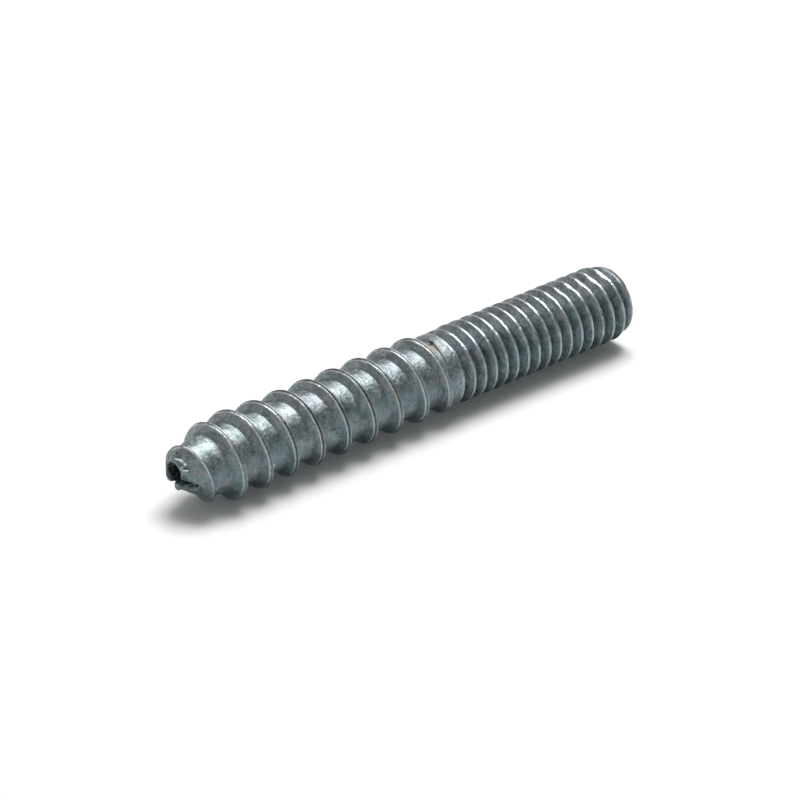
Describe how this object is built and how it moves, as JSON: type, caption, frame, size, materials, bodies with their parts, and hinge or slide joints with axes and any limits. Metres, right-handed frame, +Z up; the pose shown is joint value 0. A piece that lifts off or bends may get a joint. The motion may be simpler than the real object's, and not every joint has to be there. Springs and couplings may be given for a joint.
{
  "type": "hanger bolt",
  "caption": "Headless steel pin with a coarse wood thread and blunt torn tip on one half, a fine machine thread on the other, and a short plain band between.",
  "frame": {"origin": "middle of the footprint on the ground plane", "axes": "+X along the bolt, towards the machine end; +Z up; the bolt lies on the ground"},
  "size_m": [0.0564, 0.0088, 0.0088],
  "materials": {
    "zinc_plated_steel": "zinc plated, scuffed, with faint blue and pink tints"
  },
  "bodies": {
    "root": {"hanger_bolt": "zinc_plated_steel"}
  },
  "joints": []
}
